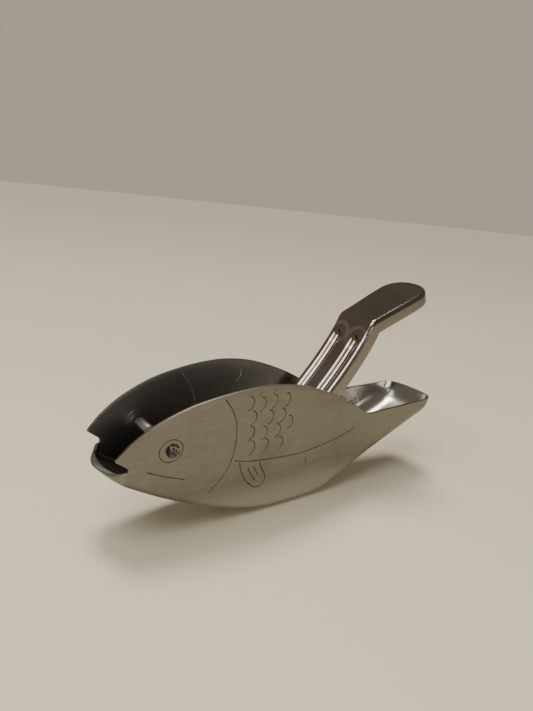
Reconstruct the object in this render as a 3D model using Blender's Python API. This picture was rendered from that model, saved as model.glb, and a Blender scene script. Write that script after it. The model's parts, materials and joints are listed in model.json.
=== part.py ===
"""A fish-shaped squeezer for lemon wedges, as five separate pieces.

The body is one deep-drawn trough of thin steel: two leaning walls cut to the outline of a fish, a
belly that rises to a pouring jaw and to a tail scoop. A pressed channel lever turns on a rivet
through the eyes, and two spacer sleeves on the rivet keep the lever's knuckle in the middle.

Metres, +Z up. +X runs from head to tail, the fish stands on its belly flat at Z = 0, and Y = 0 is
the middle plane. Lengths below are in millimetres, and x is measured from the tips of the upper
lips; LIP_X places them in the frame, whose origin is under the middle of the whole object.
"""

from math import atan2, cos, hypot, pi, radians, sin, tan

import bmesh
import bpy
from mathutils import Vector

MM = 0.001
GAP = 0.3                 # clearance left between pieces that touch on the real object

# Body: the drawn trough
SHEET = 1.0               # sheet thickness of body and lever
LIP_X = -76.402           # frame x of the upper lips' tips
LEAN = radians(5.5)       # outward lean of each wall
CORNER_RADIUS = ((20.0, 2.8), (60.0, 4.5), (90.0, 4.5), (118.0, 8.0))   # belly to wall, outer
CORNER_SHARE = 0.8        # most of a low wall's height that the rounding may take
MOUTH_X = 4.2             # inner corner of the mouth notch
LIP_Z = 34.1              # tip of the upper lip
JAW_REACH = 4.3           # how far the jaw's rim runs forward of the notch
JAW_DIP = 1.1             # how far that rim dips in the middle
CHIN_REACH = 9.6          # how far the chin under the rim runs forward of the notch
CHIN_RISE = 5.0
JAW_POWERS = (2.1, 1.35)  # squareness of the jaw's plan, at its rim and at the floor
TAIL_START = 146.0        # where the tail's rounded end begins
TAIL_BULGE = 9.4
TAIL_CROWN = 0.7          # rise of the rim in the middle of the end
TAIL_REACH = 0.8          # how far the floor runs on, as a part of the bulge
TAIL_POWERS = (3.2, 3.2)  # squareness of the rounded end
TAIL_RIM = (109.8, 34.1, 34.8)   # x where back outline meets tail, rim height there and at the end
BELLY = (62.0, 89.3)      # where the two slopes meet the belly flat
FRONT_SLOPE = (0.205, 0.00339)   # rise of the throat: linear and square parts
REAR_SLOPE = 0.436        # rise of the tail's underside
BLEND = (4.0, 5.0)        # half length of the roundings at the two ends of the belly flat
BACK_OUTLINE = ((0.0, 34.4), (5.0, 39.5), (13.7, 45.3), (27.4, 50.5), (50.0, 53.8),
                (67.3, 52.5), (84.2, 47.2), (97.9, 40.6), (109.8, 34.1))
BASE_HALF_WIDTH = ((0.0, 9.95), (10.0, 10.25), (30.0, 11.25), (50.0, 12.0), (70.0, 12.2),
                   (90.0, 12.0), (120.0, 11.35), (150.0, 10.6))

# Pivot through the eyes
EYE_X, EYE_Z = 18.9, 34.5
SHANK_RADIUS = 1.05
HEAD_RADIUS = 2.35
HEAD_HEIGHT = 0.85
SLEEVE_RADIUS = 1.95
BORE_RADIUS = SHANK_RADIUS + GAP
KNUCKLE_HALF = 3.2

# Lever: a pressed channel, described flat (s along, v across, d above the face) and then bent
LEVER_PATH = ((24.5, 20.6), (30.0, 17.8), (39.0, 14.6), (48.0, 12.7), (55.0, 13.1), (62.0, 16.4),
              (70.0, 23.0), (80.0, 33.3), (90.3, 45.2), (96.0, 51.9), (101.4, 59.0), (105.9, 65.9),
              (108.7, 71.1))
PAD_SLOPE = radians(23.5)
PAD_LENGTH = 35.3
PAD_ROUND = 11.8          # length over which the pad's end is rounded
PAD_POWER = 2.3
CREASE_RADIUS = 4.5
LEVER_DEPTH = ((0.0, 1.9), (16.0, 5.0), (60.0, 6.3), (105.0, 6.3), (121.0, 5.8), (160.0, 5.4))
LEVER_BEND = 1.8          # outer radius between face and flange
LEVER_HALF_WIDTH = ((0.0, 4.0), (3.0, 7.2), (7.0, 9.2), (20.0, 9.7), (60.0, 10.2), (97.0, 10.3),
                    (110.0, 10.3), (121.0, 10.7), (135.0, 11.6), (160.0, 12.0))
GROOVE_OFFSET = 5.2       # middle of each groove from the lever's middle
GROOVE_WIDTH = 4.8
GROOVE_DEPTH = 1.2
GROOVE_MARGIN = 6.9       # distance from the crease to the grooves' round ends
GROOVE_LENGTH = 66.0
TONGUE_PATH = ((28.4, 18.0), (24.8, 19.9), (22.8, 23.6), (21.6, 28.5))
TONGUE_SHEET = 0.7
CURL_END = radians(318)

# Mesh fineness
SLICE = 6.0               # distance between cross-sections along the body
ROUND_STEPS = 24          # sides of small round pieces


def clear_objects():
    for obj in list(bpy.data.objects):
        bpy.data.objects.remove(obj, do_unlink=True)


def steel(name, colour, roughness):
    material = bpy.data.materials.new(name)
    material.use_nodes = True
    shader = material.node_tree.nodes["Principled BSDF"]
    shader.inputs["Base Color"].default_value = (*colour, 1.0)
    shader.inputs["Metallic"].default_value = 1.0
    shader.inputs["Roughness"].default_value = roughness
    return material


def add_object(name, bm, material, origin=(0.0, 0.0, 0.0)):
    """Turn a bmesh in millimetres into a named object whose origin is at the given point."""
    bmesh.ops.remove_doubles(bm, verts=bm.verts, dist=0.01)
    bmesh.ops.recalc_face_normals(bm, faces=bm.faces)
    for vert in bm.verts:
        vert.co = (vert.co - Vector(origin)) * MM
    mesh = bpy.data.meshes.new(name)
    bm.to_mesh(mesh)
    bm.free()
    mesh.shade_smooth()
    mesh.set_sharp_from_angle(angle=radians(32))
    mesh.materials.append(material)
    obj = bpy.data.objects.new(name, mesh)
    obj.location = (origin[0] * MM, origin[1] * MM, origin[2] * MM)
    bpy.context.scene.collection.objects.link(obj)
    return obj


def as_cutter(obj):
    obj.hide_render = True
    obj.display_type = "WIRE"
    return obj


def boolean(obj, other, operation):
    modifier = obj.modifiers.new(other.name, "BOOLEAN")
    modifier.object = other
    modifier.operation = operation
    modifier.solver = "EXACT"


def sheet_metal(obj, thickness):
    """Give a one-layer skin its thickness, inwards from the skin."""
    modifier = obj.modifiers.new("sheet", "SOLIDIFY")
    modifier.thickness = thickness * MM
    modifier.offset = -1.0
    modifier.use_even_offset = True


def skin_grid(bm, rows):
    """Join rows of equally many points into a skin of quads."""
    verts = [[bm.verts.new(point) for point in row] for row in rows]
    for upper, lower in zip(verts, verts[1:]):
        for k in range(len(upper) - 1):
            bm.faces.new((upper[k], upper[k + 1], lower[k + 1], lower[k]))


def lerp(table, x):
    """Straight-line reading of a short table of pairs."""
    if x <= table[0][0]:
        return table[0][1]
    for (xa, ya), (xb, yb) in zip(table, table[1:]):
        if x <= xb:
            return ya + (yb - ya) * (x - xa) / (xb - xa)
    return table[-1][1]


def smooth(table, x):
    """Reading of a short table along a smooth curve through its points."""
    last = len(table) - 1
    k = max(i for i in range(last) if i == 0 or table[i][0] <= x)

    def slope(i):
        low, high = max(i - 1, 0), min(i + 1, last)
        return (table[high][1] - table[low][1]) / (table[high][0] - table[low][0])

    (xa, ya), (xb, yb) = table[k], table[k + 1]
    span = xb - xa
    t = min(max((x - xa) / span, 0.0), 1.0)
    start, end = slope(k) * span, slope(k + 1) * span
    return (ya * (2 * t**3 - 3 * t**2 + 1) + start * (t**3 - 2 * t**2 + t)
            + yb * (3 * t**2 - 2 * t**3) + end * (t**3 - t**2))


def ramp(distance, blend):
    """Zero before a slope, the distance along it after, with a round start."""
    if distance <= -blend:
        return 0.0
    if distance >= blend:
        return distance
    return (distance + blend) ** 2 / (4 * blend)


# ---------------------------------------------------------------- body

def belly_z(x):
    """Height of the underside in the middle plane."""
    front = ramp(BELLY[0] - x, BLEND[0])
    rear = ramp(x - BELLY[1], BLEND[1])
    return FRONT_SLOPE[0] * front + FRONT_SLOPE[1] * front**2 + REAR_SLOPE * rear


def rim_z(x):
    """Height of the walls' top edge: back outline, then the tail's low rim."""
    if x <= TAIL_RIM[0]:
        return smooth(BACK_OUTLINE, x)
    return lerp(((TAIL_RIM[0], TAIL_RIM[1]), (150.0, TAIL_RIM[2])), x)


def half_width(x, z):
    return smooth(BASE_HALF_WIDTH, x) + z * tan(LEAN)


LOWER_SHARE = 0.381       # part of the wall's height that lies under the mouth notch
UPPER_ROWS, LOWER_ROWS, CORNER_ROWS, FLOOR_ROWS = 5, 3, 4, 6
JAW_ROW = UPPER_ROWS + 1  # where the jaw's rim meets the wall below the mouth notch
HALF_ROWS = UPPER_ROWS + LOWER_ROWS + CORNER_ROWS + FLOOR_ROWS // 2 + 1


def half_section(x):
    """Near half of one cross-section, from the rim down to the middle of the floor: (y, z)."""
    floor, rim = belly_z(x), rim_z(x)
    radius = min(lerp(CORNER_RADIUS, x), CORNER_SHARE * (rim - floor))
    centre_z = floor + radius
    centre_y = half_width(x, centre_z) - radius / cos(LEAN)
    bottom = centre_z - radius * sin(LEAN)
    mouth = bottom + LOWER_SHARE * (rim - bottom)
    points = []
    for k in range(UPPER_ROWS):
        z = rim + (mouth - rim) * k / UPPER_ROWS
        points.append((-half_width(x, z), z))
    for k in range(LOWER_ROWS):
        z = mouth + (bottom - mouth) * k / LOWER_ROWS
        points.append((-half_width(x, z), z))
    for k in range(CORNER_ROWS):
        angle = LEAN + (pi / 2 - LEAN) * k / CORNER_ROWS
        points.append((-centre_y - radius * cos(angle), centre_z - radius * sin(angle)))
    for k in range(FLOOR_ROWS // 2 + 1):
        points.append((-centre_y * (1 - 2 * k / FLOOR_ROWS), floor))
    return points


def section(x):
    near = half_section(x)
    return [Vector((x, y, z)) for y, z in near + [(-y, z) for y, z in near[-2::-1]]]


def run_shares(points):
    """How far along their own line points lie, from 0 to 1."""
    lengths = [0.0]
    for a, b in zip(points, points[1:]):
        lengths.append(lengths[-1] + (b - a).length)
    return [length / lengths[-1] for length in lengths]


def rounded_end(near, tip, pull, powers, turn_power, steps):
    """Nested U-shaped rows that close an end: the first is its rim, the last its line on the floor."""
    middle = near[-1]
    rows = []
    for start, share in zip(near, run_shares(near)):
        power = powers[0] + (powers[1] - powers[0]) * share**0.5
        out, up = 1 - share**turn_power, (1 - share) ** turn_power
        reach = middle + (pull - middle) * out + (tip - pull) * up
        row = []
        for k in range(steps + 1):
            angle = pi * k / steps
            side = 1 if k < steps / 2 else -1
            turn = sin(angle) ** (2 / power)
            y = side * start.y * abs(cos(angle)) ** (2 / power)
            row.append(Vector((start.x + (reach.x - start.x) * turn, y,
                               start.z + (reach.z - start.z) * turn)))
        rows.append(row)
    return rows


def jaw_rows():
    """The rounded lower jaw in front of the mouth notch."""
    near = section(MOUTH_X)[JAW_ROW:HALF_ROWS]
    tip = Vector((MOUTH_X - JAW_REACH, 0.0, near[0].z - JAW_DIP))
    pull = Vector((MOUTH_X - CHIN_REACH, 0.0, near[-1].z + CHIN_RISE))
    return rounded_end(near, tip, pull, JAW_POWERS, 2.3, 16)


def tail_rows():
    """The scoop's rounded, upturned end."""
    near = section(TAIL_START)[:HALF_ROWS]
    reach = TAIL_REACH * TAIL_BULGE
    tip = Vector((TAIL_START + TAIL_BULGE, 0.0, near[0].z + TAIL_CROWN))
    pull = Vector((TAIL_START + reach, 0.0, near[-1].z + REAR_SLOPE * reach))
    return rounded_end(near, tip, pull, TAIL_POWERS, 2.5, 20)


def body_stations():
    """x of the cross-sections, with one at the mouth notch and one where back meets tail."""
    stations = []
    for start, end in ((MOUTH_X, TAIL_RIM[0]), (TAIL_RIM[0], TAIL_START)):
        count = round((end - start) / SLICE)
        stations += [start + (end - start) * k / count for k in range(count)]
    return stations + [TAIL_START]


def lip_rows(side):
    """One upper lip, from the mouth notch forward to its tip."""
    notch = section(MOUTH_X)[UPPER_ROWS].z
    rows = []
    for k in range(4):
        x = MOUTH_X * (1 - k / 3)
        top = rim_z(x)
        low = notch + (LIP_Z - 0.3 - notch) * k / 3
        heights = [top + (low - top) * i / UPPER_ROWS for i in range(UPPER_ROWS + 1)]
        rows.append([Vector((x, side * half_width(x, z), z)) for z in heights])
    return rows


def fish_body(material):
    bm = bmesh.new()
    skin_grid(bm, [section(x) for x in body_stations()])
    skin_grid(bm, jaw_rows())
    skin_grid(bm, tail_rows())
    for side in (-1, 1):
        skin_grid(bm, lip_rows(side))
    bmesh.ops.translate(bm, verts=bm.verts, vec=(LIP_X, 0.0, 0.0))
    bmesh.ops.remove_doubles(bm, verts=bm.verts, dist=0.01)
    bmesh.ops.dissolve_degenerate(bm, edges=bm.edges, dist=0.005)
    body = add_object("fish_body", bm, material)
    sheet_metal(body, SHEET)
    holes = turned([(BORE_RADIUS, -20.0), (BORE_RADIUS, 20.0)])
    boolean(body, as_cutter(add_object("eye_hole_cutter", holes, material, pivot())), "DIFFERENCE")
    return body


# ---------------------------------------------------------------- pivot

def pivot():
    return (LIP_X + EYE_X, 0.0, EYE_Z)


def turned(profile, closed_ends=True):
    """A round piece about the pivot's axis, from pairs of radius and y."""
    bm = bmesh.new()
    x, _, z = pivot()
    rings = []
    for radius, y in profile:
        angles = [2 * pi * k / ROUND_STEPS for k in range(ROUND_STEPS)]
        rings.append([bm.verts.new((x + radius * cos(a), y, z + radius * sin(a))) for a in angles])
    if not closed_ends:
        rings.append(rings[0])
    for one, two in zip(rings, rings[1:]):
        for k in range(ROUND_STEPS):
            n = (k + 1) % ROUND_STEPS
            bm.faces.new((one[k], one[n], two[n], two[k]))
    if closed_ends:
        bm.faces.new(rings[0])
        bm.faces.new(rings[-1])
    return bm


def wall_y(radius):
    """Half width of the body at the eye, at the widest point that a disc of this radius meets."""
    return half_width(EYE_X, EYE_Z + radius)


def pivot_rivet(material):
    seat = wall_y(HEAD_RADIUS) + GAP
    top = seat + HEAD_HEIGHT
    far_side = [(SHANK_RADIUS, seat), (HEAD_RADIUS, seat), (HEAD_RADIUS, seat + 0.45),
                (HEAD_RADIUS - 0.4, top), (1.0, top), (0.6, top - 0.35)]
    near_side = [(radius, -y) for radius, y in far_side[::-1]]
    return add_object("pivot_rivet", turned(near_side + far_side), material, pivot())


def spacer_sleeve(name, side, material):
    inner, outer = KNUCKLE_HALF + GAP, half_width(EYE_X, EYE_Z - SLEEVE_RADIUS) - SHEET - GAP - 0.15
    profile = [(SLEEVE_RADIUS, side * inner), (SLEEVE_RADIUS, side * outer),
               (BORE_RADIUS, side * outer), (BORE_RADIUS, side * inner)]
    return add_object(name, turned(profile, closed_ends=False), material, pivot())


# ---------------------------------------------------------------- lever

def dense_path(points, steps=12):
    """A smooth line through points in the middle plane, read finely."""
    line = []
    for k in range(len(points) - 1):
        before, a = points[max(k - 1, 0)], points[k]
        b, after = points[k + 1], points[min(k + 2, len(points) - 1)]
        for i in range(steps):
            t = i / steps
            line.append(tuple(0.5 * (2 * a[j] + (b[j] - before[j]) * t
                                     + (2 * before[j] - 5 * a[j] + 4 * b[j] - after[j]) * t**2
                                     + (3 * a[j] - before[j] - 3 * b[j] + after[j]) * t**3)
                              for j in (0, 1)))
    return line + [points[-1]]


def lever_line():
    """Face line of the lever: pressing section, crease arc and straight pad, with its crease."""
    line = dense_path(LEVER_PATH)
    (xa, za), (xb, zb) = line[-2:]
    angle = atan2(zb - za, xb - xa)
    x, z = line[-1]
    crease = len(line)
    turn_steps = 4
    turn = (angle - PAD_SLOPE) / turn_steps
    for _ in range(turn_steps):
        angle -= turn
        step = CREASE_RADIUS * turn
        x += step * cos(angle + turn / 2)
        z += step * sin(angle + turn / 2)
        line.append((x, z))
    line.append((x + PAD_LENGTH * cos(PAD_SLOPE), z + PAD_LENGTH * sin(PAD_SLOPE)))
    return line, crease


class Bend:
    """Places flat lever coordinates (s, v, d) on the bent face line."""

    def __init__(self, line, crease):
        self.line = line
        self.stops = [0.0]
        for (xa, za), (xb, zb) in zip(line, line[1:]):
            self.stops.append(self.stops[-1] + hypot(xb - xa, zb - za))
        self.crease = (self.stops[crease - 1] + self.stops[crease + 3]) / 2
        self.length = self.stops[-1]

    def point(self, s):
        k = max(i for i in range(len(self.stops) - 1) if i == 0 or self.stops[i] <= s)
        share = (s - self.stops[k]) / (self.stops[k + 1] - self.stops[k])
        (xa, za), (xb, zb) = self.line[k], self.line[k + 1]
        return xa + (xb - xa) * share, za + (zb - za) * share

    def angle(self, s, reach=3.8):
        """Slope of the line near s; over the crease it turns as gently as the flanges need."""
        low, high = max(s - reach, 0.0), min(s + reach, self.length)
        (xa, za), (xb, zb) = self.point(low), self.point(high)
        return atan2(zb - za, xb - xa)

    def place(self, s, v, d):
        x, z = self.point(min(max(s, 0.0), self.length))
        angle = self.angle(s)
        return Vector((LIP_X + x - d * sin(angle), v, z + d * cos(angle)))


def lever_stations(bend):
    """s of the lever's cross-sections: closer at the shoulders, the crease and the round end."""
    stations = [0.0, 1.5, 3.0, 5.0, 7.5]
    groove_end = bend.crease - GROOVE_MARGIN
    stations += [11.0 + (groove_end - GROOVE_WIDTH - 11.0) * k / 13 for k in range(14)]
    stations += [groove_end - GROOVE_WIDTH * share for share in (0.5, 0.25, 0.1, 0.0)]
    stations += [bend.crease + step for step in (-5.0, -2.6, -1.2, -0.4, 0.4, 1.2, 2.6)]
    round_start = bend.length - PAD_ROUND
    stations += [bend.crease + (round_start - bend.crease) * share for share in (0.35, 0.7, 1.0)]
    stations += [round_start + PAD_ROUND * sin(pi / 2 * k / 7) for k in range(1, 8)]
    return stations


def lever_outline(bend, s):
    """Half width of the flat lever at s, rounded off at the pad's end."""
    width = smooth(LEVER_HALF_WIDTH, s)
    share = max((s - (bend.length - PAD_ROUND)) / PAD_ROUND, 0.0)
    return width * max(1 - share**PAD_POWER, 0.0) ** (1 / PAD_POWER)


def groove_depth(bend, s, v):
    """Depth below the face at (s, v): two sunk grooves with round ends."""
    end = bend.crease - GROOVE_MARGIN - GROOVE_WIDTH / 2
    along = max(s - end, end - GROOVE_LENGTH - s, 0.0)
    distance = hypot(along, abs(v) - GROOVE_OFFSET) / (GROOVE_WIDTH / 2)
    return GROOVE_DEPTH * (1 + cos(pi * min(distance, 1.0))) / 2


def lever_section(bend, s, s_before, s_after):
    """Near half of one cross-section, from the flange's edge to the lever's middle."""
    half = lever_outline(bend, s)
    run, rise = s_after - s_before, lever_outline(bend, s_after) - lever_outline(bend, s_before)
    inward = Vector((rise, -run)).normalized()
    depth = lerp(LEVER_DEPTH, s)
    rows = [(0.0, -depth), (0.0, -LEVER_BEND)]
    for k in (1, 2, 3):
        angle = pi / 2 * k / 3
        rows.append((LEVER_BEND * (1 - cos(angle)), -LEVER_BEND * (1 - sin(angle))))
    points = [(s + inward.x * inset, max(half + inward.y * inset, 0.0), d) for inset, d in rows]
    edge_s, edge_v, _ = points[-1]
    edge_groove = GROOVE_OFFSET + GROOVE_WIDTH / 2
    for target in (edge_groove, GROOVE_OFFSET + 1.2, GROOVE_OFFSET, GROOVE_OFFSET - 1.2,
                   GROOVE_OFFSET - GROOVE_WIDTH / 2, 0.0):
        v = edge_v * target / (edge_groove + 0.4) if edge_v < edge_groove + 0.4 else target
        points.append((edge_s, v, -groove_depth(bend, edge_s, v)))
    return points


def tongue(material):
    """The strip that rises from the lever's face and curls round the pivot."""
    centre = Vector((EYE_X, EYE_Z))
    radius = BORE_RADIUS + 0.1 + TONGUE_SHEET / 2
    start = atan2(1.0, 5.0)
    curl = [(centre.x + radius * cos(a), centre.y + radius * sin(a))
            for a in (start + (CURL_END - start) * k / 20 for k in range(21))]
    line = dense_path(TONGUE_PATH + (curl[0],), 4)[:-1] + curl
    bm = bmesh.new()
    rings = []
    for k, (x, z) in enumerate(line):
        (xa, za), (xb, zb) = line[max(k - 1, 0)], line[min(k + 1, len(line) - 1)]
        across = Vector((za - zb, xb - xa)).normalized() * TONGUE_SHEET / 2
        corners = ((1, -1), (1, 1), (-1, 1), (-1, -1))
        rings.append([bm.verts.new((LIP_X + x + i * across.x, j * KNUCKLE_HALF, z + i * across.y))
                      for i, j in corners])
    for one, two in zip(rings, rings[1:]):
        for k in range(4):
            n = (k + 1) % 4
            bm.faces.new((one[k], one[n], two[n], two[k]))
    bm.faces.new(rings[0])
    bm.faces.new(rings[-1])
    return as_cutter(add_object("tongue_strip", bm, material, pivot()))


def press_lever(material):
    bend = Bend(*lever_line())
    stations = lever_stations(bend)
    rows = []
    for k, s in enumerate(stations):
        before, after = stations[max(k - 1, 0)], stations[min(k + 1, len(stations) - 1)]
        near = lever_section(bend, s, before, after)
        row = [(a, -v, d) for a, v, d in near] + near[-2::-1]
        rows.append([bend.place(*point) for point in row])
    bm = bmesh.new()
    skin_grid(bm, rows)
    bmesh.ops.remove_doubles(bm, verts=bm.verts, dist=0.01)
    bmesh.ops.dissolve_degenerate(bm, edges=bm.edges, dist=0.005)
    lever = add_object("press_lever", bm, material, pivot())
    sheet_metal(lever, SHEET)
    boolean(lever, tongue(material), "UNION")
    return lever


def main():
    clear_objects()
    brushed = steel("brushed_steel", (0.43, 0.40, 0.33), 0.36)
    polished = steel("polished_steel", (0.50, 0.47, 0.42), 0.12)
    bright = steel("bright_steel", (0.58, 0.56, 0.52), 0.22)
    fish_body(brushed)
    press_lever(polished)
    pivot_rivet(bright)
    spacer_sleeve("spacer_sleeve_near", -1, bright)
    spacer_sleeve("spacer_sleeve_far", 1, bright)


main()
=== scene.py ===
"""Looks of the fish-shaped lemon wedge squeezer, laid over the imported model.

Lengths in the tables below are millimetres, and x is measured from the tips of the upper lips. The
frame's hinge says where that is. place() turns such lengths into metres in the frame.
"""

import json
from math import atan2, cos, hypot, pi, radians, sin, tan

import bmesh
import bpy
from mathutils import Matrix, Vector


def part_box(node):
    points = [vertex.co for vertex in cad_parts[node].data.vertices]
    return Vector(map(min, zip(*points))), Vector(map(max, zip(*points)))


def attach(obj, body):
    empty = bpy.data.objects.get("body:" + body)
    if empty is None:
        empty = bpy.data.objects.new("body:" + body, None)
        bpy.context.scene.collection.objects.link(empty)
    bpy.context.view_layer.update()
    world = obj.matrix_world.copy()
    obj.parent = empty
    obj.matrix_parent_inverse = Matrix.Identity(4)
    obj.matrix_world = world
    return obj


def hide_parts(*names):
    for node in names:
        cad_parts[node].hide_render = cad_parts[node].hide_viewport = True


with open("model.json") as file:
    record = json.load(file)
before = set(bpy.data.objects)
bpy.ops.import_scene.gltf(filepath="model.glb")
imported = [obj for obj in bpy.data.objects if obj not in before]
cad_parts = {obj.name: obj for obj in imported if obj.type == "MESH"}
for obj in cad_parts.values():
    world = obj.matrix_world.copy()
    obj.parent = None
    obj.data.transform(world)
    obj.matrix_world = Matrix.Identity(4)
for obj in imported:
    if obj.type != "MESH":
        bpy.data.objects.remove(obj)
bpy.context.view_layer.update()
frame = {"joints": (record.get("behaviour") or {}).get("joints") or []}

MM = 0.001

# ---------------------------------------------------------------- sizes

SHEET = 1.0               # sheet thickness
WITHIN = 0.015            # how far finely curved outlines stay inside the coarser CAD ones
EYE_X = 18.9              # the pivot, measured from the lips
PIVOT = Vector(frame["joints"][0]["pos_m"]) / MM
EYE_Z = PIVOT.z
LIP_X = PIVOT.x - EYE_X

LEAN = radians(5.5)       # of the walls, outwards
CORNER_RADIUS = ((20.0, 2.8), (60.0, 4.5), (90.0, 4.5), (118.0, 8.0))   # wall to floor, by x
CORNER_SHARE = 0.8        # of the wall's height, the most that a corner takes

MOUTH_X = 4.2             # back of the notch between the lips and the jaw
LIP_Z = 34.1              # underside of the lips' tips
LIP_EDGE = 0.3            # how far a lip's edge runs on below that
LIP_STEPS = 5
JAW_REACH = 4.3           # of the jaw's rim in front of the notch
JAW_DIP = 1.1             # of the rim's front below its sides
JAW_POWERS = (2.1, 1.35)  # roundness of the plan, at the rim and at the floor
JAW_TURN = 2.3            # how late the floor turns up into the front
JAW_STEPS = 32
CHIN_REACH = 9.58
CHIN_RISE = 5.0

TAIL_START = 146.0
TAIL_BULGE = 9.38         # of the round end beyond that
TAIL_CROWN = 0.7          # of the end's middle above its sides
TAIL_REACH = 0.8          # share of the bulge where the floor turns up
TAIL_POWERS = (3.2, 3.2)
TAIL_TURN = 2.5
TAIL_STEPS = 40
TAIL_RIM = ((109.8, 34.1), (150.0, 34.8))

BELLY = (62.0, 89.3)      # first and last point of the flat that it stands on
FRONT_SLOPE = (0.205, 0.00339)
REAR_SLOPE = 0.436
BLEND = (4.0, 5.0)        # round starts of those slopes
BACK_OUTLINE = ((0.0, 34.4), (5.0, 39.5), (13.7, 45.3), (27.4, 50.5), (50.0, 53.8),
                (67.3, 52.5), (84.2, 47.2), (97.9, 40.6), (109.8, 34.1))
BASE_HALF_WIDTH = ((0.0, 9.95), (10.0, 10.25), (30.0, 11.25), (50.0, 12.0), (70.0, 12.2),
                   (90.0, 12.0), (120.0, 11.35), (150.0, 10.6))
LOWER_SHARE = 0.381       # share of a wall below the level of the mouth
UPPER_ROWS, LOWER_ROWS, CORNER_ROWS, FLOOR_ROWS = 12, 6, 8, 14
JAW_ROW = UPPER_ROWS + LOWER_ROWS // 3
HALF_ROWS = UPPER_ROWS + LOWER_ROWS + CORNER_ROWS + FLOOR_ROWS // 2 + 1
SLICE = 2.5               # between the body's cross-sections
BODY_EDGE, LEVER_EDGE, TONGUE_EDGE, SLEEVE_EDGE = 0.22, 0.2, 0.15, 0.12   # roundings
EYE_HOLE_HALF = 20.0      # half length of the tool that cuts both eyes

SHANK_RADIUS = 1.05
SHANK_HALF = 14.0
HEAD_RADIUS = 2.35
HEAD_HEIGHT = 0.9
HEAD_ROUND = 0.35
HEAD_RING = 0.75          # width of the ring round the head's sunk middle
HEAD_SINK = 0.22
HEAD_TAPER = 0.8          # size of the sunk middle at its bottom
HEAD_BED = 0.02           # how far a head sits in its wall
SLEEVE_RADIUS = 1.95
BORE_RADIUS = 1.35
KNUCKLE_HALF = 3.2

LEVER_PATH = ((24.5, 20.6), (30.0, 17.8), (39.0, 14.6), (48.0, 12.7), (55.0, 13.1), (62.0, 16.4),
              (70.0, 23.0), (80.0, 33.3), (90.3, 45.2), (96.0, 51.9), (101.4, 59.0), (105.9, 65.9),
              (108.7, 71.1))
PATH_STEPS = 12           # between two points of such a line
PAD_SLOPE = radians(23.5)
PAD_LENGTH = 35.29
PAD_ROUND = 11.8          # length of the pad's round end
PAD_POWER = 2.3
CREASE_RADIUS = 4.5
CREASE_STEPS = 8
CREASE_REACH = 3.8        # the slope is read this far to each side
LEVER_DEPTH = ((0.0, 1.9), (16.0, 5.0), (60.0, 6.3), (105.0, 6.3), (121.0, 5.8), (160.0, 5.4))
LEVER_BEND = 1.8          # radius between the face and a flange
SHOULDER_BAND, GROOVE_BAND, CREASE_BAND = 8.0, 4.0, 4.4   # where sections lie closer
PLAIN_STEP, SHOULDER_STEP, GROOVE_STEP, CREASE_STEP = 1.6, 0.8, 0.4, 0.35
FLANGE_ROWS, BEND_ROWS, FACE_ROWS, ROUND_STEPS = 3, 12, 34, 18
LEVER_HALF_WIDTH = ((0.0, 4.0), (3.0, 7.2), (7.0, 9.2), (20.0, 9.7), (60.0, 10.2), (97.0, 10.3),
                    (110.0, 10.3), (121.0, 10.7), (135.0, 11.6), (160.0, 12.0))
GROOVE_OFFSET = 5.2
GROOVE_WIDTH = 5.2
GROOVE_DEPTH = 1.4
GROOVE_MARGIN = 6.9       # from the grooves' heads to the crease
GROOVE_LENGTH = 66.0
GROOVE_HEAD = 0.3         # from a groove's end to its head's middle, in groove widths
TONGUE_PATH = ((28.4, 18.0), (24.8, 19.9), (22.8, 23.6), (21.6, 28.5))
TONGUE_SHEET = 0.7
CURL_CLEARANCE = 0.1      # on top of the bore
CURL_START, CURL_END = atan2(1.0, 5.0), radians(318)
CURL_STEPS = 48

# Engraved lines on the walls, as points (x, z)
GILL = ((36.2, 50.8), (39.2, 47.0), (41.4, 42.8), (42.7, 37.2), (42.9, 31.9), (42.2, 26.6),
        (40.6, 22.4), (38.1, 18.6), (34.8, 15.1))
MOUTH_LINE = ((10.7, 28.0), (17.0, 25.2), (24.5, 22.5))
SIDE_LINE = ((43.6, 26.0), (49.0, 24.7), (56.0, 23.9), (66.0, 23.2), (76.0, 23.2), (88.0, 24.8),
             (97.6, 27.0), (102.6, 28.9))
FIN = ((45.9, 24.9), (46.6, 22.2), (48.4, 18.4), (50.9, 15.2), (53.6, 12.9), (55.9, 12.3),
       (57.8, 13.2), (58.6, 15.4), (58.1, 17.3), (56.4, 19.9), (54.6, 23.5))
FIN_RAYS = (((50.0, 21.6), (51.8, 18.4), (54.0, 15.6)), ((52.3, 22.1), (53.6, 19.8), (55.2, 17.6)))
DASH = ((77.8, 20.0), (78.4, 17.4))
SCALE_ARC = ((-2.3, 2.8), (-0.7, 2.0), (0.0, 0.0), (-0.7, -2.0), (-2.2, -3.1))
SCALES = (((48.0, 48.2), (50.1, 42.4), (50.2, 36.4), (51.4, 30.2)),
          ((53.2, 47.3), (55.9, 35.6), (57.4, 30.3)),
          ((58.3, 47.8), (57.6, 41.6), (62.0, 35.5), (64.2, 29.8)),
          ((64.1, 47.6), (63.2, 41.5), (67.2, 38.1)))
SCALE_STROKES = (((51.2, 52.2), (49.2, 50.3)), ((57.0, 52.4), (55.4, 51.0)))
EYE_RING_CENTRE = (EYE_X - 0.6, EYE_Z + 0.1)
EYE_RING_RADIUS = 4.15
EYE_RING_STEPS = 40
LINE_RADIUS = 0.23        # radius of the round tool that cuts the lines
LINE_CUT = 0.16           # depth of the lines
LINE_RISE = 0.1           # how far the same lines stand out inside

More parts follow.
